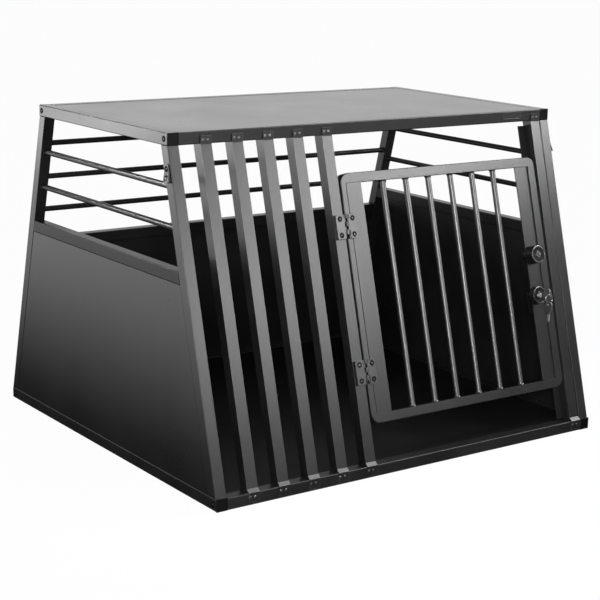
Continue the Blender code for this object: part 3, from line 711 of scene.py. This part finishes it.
for level, up, proud in LOCKS:
    spot = wall @ Matrix.Translation((LOCK_ACROSS, 0, up)) @ Matrix.Rotation(pi / 2, 4, "X")
    collar = turned(((COLLAR_BORE, -COLLAR_BACK), (COLLAR_RADIUS, -COLLAR_BACK), (COLLAR_RADIUS, -0.0002),
                     (COLLAR_RADIUS - 0.0003, 0.0005), (COLLAR_RADIUS - 0.0010, COLLAR_FACE),
                     (COLLAR_BORE, COLLAR_FACE), (COLLAR_BORE, -COLLAR_BACK)), 64)
    finished(f"{level}_collar", into(collar, spot), lock_black, "door", "lock_shell", f"{level}_rosette",
             sharp=35)
    face = -KNOB_BACK + proud
    barrel = turned(((0, SPINDLE_END), (SPINDLE_RADIUS - 0.0005, SPINDLE_END),
                     (SPINDLE_RADIUS, SPINDLE_END + 0.0005), (SPINDLE_RADIUS, -KNOB_BACK),
                     (KNOB_RADIUS - 0.0004, -KNOB_BACK),
                     (KNOB_RADIUS, -KNOB_BACK + 0.0004), (KNOB_RADIUS, face - 0.0018),
                     (KNOB_RADIUS - 0.0004, face - 0.0012), (KNOB_RADIUS - 0.0016, face - 0.0003),
                     (KNOB_RADIUS - 0.0040, face - 0.0003), (DISH_RADIUS, face - 0.0020),
                     (PLUG_RADIUS + 0.0010, face - 0.0022), (PLUG_RADIUS + 0.0005, face - 0.0016),
                     (0, face - 0.0016)), 64)
    cam = block(CAM_LOW, CAM_HIGH)
    soften(cam, [edge for edge in cam.edges if runs(edge, 2)], CAM_CORNER, 5)
    knob = joined(f"{level}_knob_barrel", [barrel, cam], spot)
    finished(f"{level}_knob_barrel", knob, lock_black, f"{level}_lock", "lock_shell", f"{level}_knob",
             sharp=35)
    ring = turned(((KNOB_RADIUS - 0.0040, face - 0.0004), (KNOB_RADIUS - 0.0016, face - 0.0004),
                   (KNOB_RADIUS - 0.0007, face - 0.0009), (KNOB_RADIUS - 0.0010, face - 0.0003),
                   (KNOB_RADIUS - 0.0020, face), (KNOB_RADIUS - 0.0036, face),
                   (KNOB_RADIUS - 0.0040, face - 0.0004)), 64)
    finished(f"{level}_knob_ring", into(ring, spot), lock_steel, f"{level}_lock", "lock_shell", sharp=35)
    plug = turned(((0, face - 0.0020), (PLUG_RADIUS, face - 0.0020), (PLUG_RADIUS, face - 0.0013),
                   (PLUG_RADIUS - 0.0005, face - 0.0009), (PLUG_RADIUS - 0.0017, face - 0.0009),
                   (PLUG_RADIUS - 0.0020, face - 0.0012), (0, face - 0.0012)), 48)
    finished(f"{level}_knob_plug", into(plug, spot), lock_steel, f"{level}_lock", "lock_shell", sharp=35)

# Two keys hang on one wire ring: one is in the lower lock, the other hangs free. Each is a cut blade
# of plated brass with a ribbed plastic bow moulded round it.
BOW_HALF = 0.0026
BOW_WIDE = 0.011
BOW_TOP = 0.0045
BOW_FOOT = -0.0155
BOW_CORNER = 0.006
BOW_EDGE = 0.0007
BOW_STEPS = 48
BOW_HOLE = 0.003
RIBS = 4
RIB_HALF = 0.0030
RIB_WIDE = 0.0075
RIB_TALL = 0.0006
RIB_TOP = -0.0065
RIB_PITCH = 0.0022
RIB_EDGE = 0.0003
NECK_HALF = 0.00225
NECK_WIDE = 0.0055
NECK_FOOT = -0.0225
NECK_LAP = 0.001
NECK_EDGE = 0.0006
BLADE_HALF = 0.0011
BLADE_WIDE = 0.004
BLADE_TIP = -0.0405
BLADE_EDGE = 0.0001
CUTS = (0.0012, 0.0004, 0.0016, 0.0008, 0.0013)
CUT_FIRST = 0.0045
CUT_PITCH = 0.0025
RING_DEPTH = -0.39729
RING_HEIGHT = 0.30145
KEY_HANGS = 0.29005
KEY_DEPTH = -0.0376
key_plastic = painted("key_plastic", (0.030, 0.030, 0.031), (0.045, 0.045, 0.046), gloss=0.42, depth=0.00004,
                      shine=0.4, rubbed_and_highlight=0.12)
key_nickel = metal("key_nickel", (0.66, 0.65, 0.63), (0.48, 0.47, 0.45), gloss=0.40, rough=0.52,
                   depth=0.00002, scale=1200)


def prism(pairs, half):
    """A flat shape through its thickness along X, from an outline across and up."""
    bm = bmesh.new()
    face = bm.faces.new([bm.verts.new((-half, across, up)) for across, up in pairs])
    drawn = bmesh.ops.extrude_face_region(bm, geom=[face])["geom"]
    moved = [item for item in drawn if isinstance(item, bmesh.types.BMVert)]
    bmesh.ops.translate(bm, verts=moved, vec=(2 * half, 0, 0))
    bmesh.ops.recalc_face_normals(bm, faces=bm.faces)
    return bm


def bow():
    """The moulded bow: a rounded plate with a hole for the ring, a neck, and ribs to grip."""
    middle = (BOW_TOP + BOW_FOOT) / 2
    core = Vector((BOW_WIDE - BOW_CORNER, (BOW_TOP - BOW_FOOT) / 2 - BOW_CORNER))
    bm = bmesh.new()
    loops = []
    for number in range(BOW_STEPS):
        turn = 2 * pi * (number + 0.5) / BOW_STEPS
        way = Vector((cos(turn), sin(turn)))
        corner = Vector((core.x * (1 if way.x > 0 else -1), core.y * (1 if way.y > 0 else -1)))
        loops.append((corner + BOW_CORNER * way + Vector((0, middle)), BOW_HOLE * way))
    rows = [[bm.verts.new((across, *pair[kind])) for pair in loops]
            for kind, across in ((0, -BOW_HALF), (1, -BOW_HALF), (1, BOW_HALF), (0, BOW_HALF))]
    for row, following in zip(rows, rows[1:] + rows[:1]):
        for number in range(BOW_STEPS):
            after = (number + 1) % BOW_STEPS
            bm.faces.new((row[number], row[after], following[after], following[number]))
    bmesh.ops.recalc_face_normals(bm, faces=bm.faces)
    soften(bm, crisp(bm), BOW_EDGE)
    neck = prism(((-NECK_WIDE, NECK_FOOT), (NECK_WIDE, NECK_FOOT), (NECK_WIDE, BOW_FOOT + NECK_LAP),
                  (-NECK_WIDE, BOW_FOOT + NECK_LAP)), NECK_HALF)
    soften(neck, list(neck.edges), NECK_EDGE, 2)
    placed(bm, neck)
    neck.free()
    for number in range(RIBS):
        height = RIB_TOP - RIB_PITCH * number
        rib = block((-RIB_HALF, -RIB_WIDE, height - RIB_TALL), (RIB_HALF, RIB_WIDE, height + RIB_TALL))
        soften(rib, list(rib.edges), RIB_EDGE, 2)
        placed(bm, rib)
        rib.free()
    return bm


def blade():
    """The blade: a flat strip with cut notches on one edge and a pointed tip."""
    pairs = [(-BLADE_WIDE, NECK_FOOT + NECK_LAP), (-BLADE_WIDE, BLADE_TIP + 0.003), (-0.001, BLADE_TIP),
             (0.001, BLADE_TIP), (BLADE_WIDE - 0.0010, BLADE_TIP + 0.003)]
    for number, depth in enumerate(CUTS):
        height = BLADE_TIP + CUT_FIRST + CUT_PITCH * number
        pairs += [(BLADE_WIDE - depth, height), (BLADE_WIDE - depth, height + 0.0009),
                  (BLADE_WIDE - 0.0003, height + 0.0016)]
    pairs += [(BLADE_WIDE, NECK_FOOT + NECK_LAP)]
    bm = prism(pairs, BLADE_HALF)
    soften(bm, crisp(bm), BLADE_EDGE, 1)
    return bm


hung = Matrix.Translation((LOCK_ACROSS, RING_DEPTH, KEY_HANGS))
inserted = wall @ Matrix.Translation((LOCK_ACROSS, KEY_DEPTH, LOCKS[1][1])) @ Matrix.Rotation(pi / 2, 4, "X")
for node, spot, body in (("key", inserted, "key"), ("spare_key", hung, "spare_key")):
    finished(node + "_bow", into(bow(), spot), key_plastic, body, "key_metal", node, sharp=40)
    finished(node + "_blade", into(blade(), spot), key_nickel, body, "key_metal", sharp=30)

# The key ring is bent from round steel wire, a little dulled. It hangs in the bow of the key that is
# in the lock, and the spare key hangs from it.
RING_RADIUS = 0.010
RING_WIRE = 0.0008
ring_steel = metal("ring_steel", (0.45, 0.45, 0.45), (0.30, 0.30, 0.30), gloss=0.20, rough=0.34,
                   depth=0.00001, scale=1500)
around = [pi * step / 8 for step in range(17)]
section = [(RING_RADIUS + RING_WIRE * cos(turn), RING_WIRE * sin(turn)) for turn in around]
wire = into(turned(section, 64), aimed((LOCK_ACROSS, RING_DEPTH, RING_HEIGHT), (0, 1, 0)))
finished("key_ring_wire", wire, ring_steel, "ring", "key_metal", "key_ring")

# The studio is a pale paper floor that keeps the crate's shadow, in white surroundings. Mirrored in
# the crate, the floor glows most at the left and in front, and the surroundings are darker in front.
WORLD_LIGHT = 0.3
MIRRORED_FRONT = 0.38
FLOOR_SEEN = 0.97
LEFT_GLOW = 1.95
FRONT_GLOW = 1.1
FLOOR_HALF = 40
scene = bpy.context.scene
scene.view_settings.view_transform = "Standard"
world = bpy.data.worlds.new("studio")
world.use_nodes = True
scene.world = world
sky = world.node_tree
seen = add(sky, "LightPath").outputs
clear = reckon(sky, "MAXIMUM", reckon(sky, "MAXIMUM", seen["Is Camera Ray"], seen["Is Glossy Ray"]),
               seen["Is Transmission Ray"])
way = add(sky, "SeparateXYZ", add(sky, "TexCoord").outputs["Generated"]).outputs
white = reckon(sky, "MAXIMUM", spread(sky, way["Y"], -0.25, 0.15, MIRRORED_FRONT, 1.0), seen["Is Camera Ray"])
feed(sky, sky.nodes["Background"].inputs["Strength"], spread(sky, clear, 0.0, 1.0, WORLD_LIGHT, white))
sky.nodes["Background"].inputs["Color"].default_value = (1, 1, 1, 1)

bm = bmesh.new()
bmesh.ops.create_grid(bm, x_segments=1, y_segments=1, size=FLOOR_HALF)
mesh = bpy.data.meshes.new("studio_floor")
bm.to_mesh(mesh)
bm.free()
floor = bpy.data.objects.new("studio_floor", mesh)
scene.collection.objects.link(floor)
floor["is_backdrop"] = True
made, tree, shader, place = surface("studio_floor")
mesh.materials.append(made)
paper = spread(tree, noise(tree, place, 300.0), 0.3, 0.7, 0.0, 1.0)
feed(tree, shader.inputs["Base Color"], blend(tree, paper, (0.80, 0.80, 0.80, 1), (0.84, 0.84, 0.84, 1)))
shader.inputs["Roughness"].default_value = 0.9
shader.inputs["Specular IOR Level"].default_value = 0.0
seen = add(tree, "LightPath").outputs
mirrored = reckon(tree, "MAXIMUM", seen["Is Glossy Ray"], seen["Is Transmission Ray"])
share = reckon(tree, "MAXIMUM", reckon(tree, "MULTIPLY", seen["Is Camera Ray"], FLOOR_SEEN), mirrored)
far = add(tree, "SeparateXYZ", place).outputs
left = reckon(tree, "POWER", spread(tree, far["X"], -0.5, -1.33, 0.0, 1.0), 1.5)
sides = reckon(tree, "MAXIMUM", reckon(tree, "MULTIPLY", left, LEFT_GLOW),
               spread(tree, far["Y"], -0.5, -3.0, 0.05, FRONT_GLOW))
glow = add(tree, "Emission", (1, 1, 1, 1), spread(tree, seen["Is Camera Ray"], 0.0, 1.0, sides, 1.0))
mixed = add(tree, "MixShader", share, shader.outputs[0], glow.outputs[0])
feed(tree, tree.nodes["Material Output"].inputs["Surface"], mixed.outputs[0])

# Soft boxes with grids light the crate, so that the light falls off towards its foot. Two of them
# draw the bright lines on the bars and the rolled edges, and these leave the roof unlit, because
# from behind it would mirror them as a white sheet.
unlit_roof = bpy.data.collections.new("unlit_roof")
for piece in (frame["nodes"]["roof_panel"], *roof_rails):
    unlit_roof.objects.link(piece)
for item in unlit_roof.collection_objects:
    item.light_linking.link_state = "EXCLUDE"


def soft_box(name, place, aim, width, height, brightness, grid=180, leave_out=None):
    """A lamp that stands at a place, is aimed at a point, has a grid of this many degrees, and may
    leave some pieces out of its light."""
    light = bpy.data.lights.new(name, "AREA")
    light.shape = "RECTANGLE"
    light.size = width
    light.size_y = height
    light.energy = brightness * pi * width * height
    light.spread = radians(grid)
    made = bpy.data.objects.new(name, light)
    made.location = place
    made.rotation_euler = (Vector(aim) - Vector(place)).to_track_quat("-Z", "Y").to_euler()
    made.visible_camera = False
    made.light_linking.receiver_collection = leave_out
    scene.collection.objects.link(made)


soft_box("door_box", (2.051, -2.051, 1.702), (0.04, -0.3, 0.68), 1.0, 0.8, 1.06, grid=28)
soft_box("bars_box", (1.071, -2.941, 1.015), (-0.5, -0.4, 0.4), 0.8, 0.6, 0.29, grid=28)
soft_box("foot_box", (1.552, -2.689, 1.124), (-0.4, -0.35, 0.35), 0.8, 0.6, 0.30, grid=24)
soft_box("top_edge_box", (1.864, -2.222, 1.702), (0.0, -0.3, 0.75), 1.4, 0.8, 0.10, grid=20)
soft_box("side_box", (-1.30, 1.22, 0.52), (-0.495, -0.1, 0.72), 0.6, 0.20, 8.4)
soft_box("strap_box", (-1.85, 1.65, 1.62), (-0.50, -0.25, 0.62), 0.5, 0.4, 1.8, grid=14)
soft_box("back_box", (1.988, 2.737, 1.581), (0.0, 0.0, 0.6), 2.8, 1.0, 0.39)
soft_box("edge_box", (-2.12, -2.91, 1.2), (0.0, -0.3, 0.4), 0.8, 0.6, 9.0, grid=60, leave_out=unlit_roof)
soft_box("front_strip", (-0.50, -3.50, 1.23), (0.0, -0.3, 0.4), 2.0, 0.5, 2.2, grid=90, leave_out=unlit_roof)
soft_box("foot_edge_box", (1.34, -0.55, 1.68), (0.05, -0.44, 0.03), 0.5, 1.6, 1.9, grid=60)

# The camera stands where the photograph was taken, in front of the crate, to its left and a little
# above it. Its place, tilt and lens were fitted to the frame's edges.
camera_data = bpy.data.cameras.new("camera")
camera_data.lens = 93.735
camera_data.sensor_width = 36
camera_data.shift_x = -0.00064
camera_data.shift_y = 0.00552
camera = bpy.data.objects.new("camera", camera_data)
camera.location = (-2.00062, -2.79163, 1.07575)
camera.rotation_euler = (radians(76.59641), radians(-1.23139), radians(-35.43328))
scene.collection.objects.link(camera)
scene.camera = camera

low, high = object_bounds()
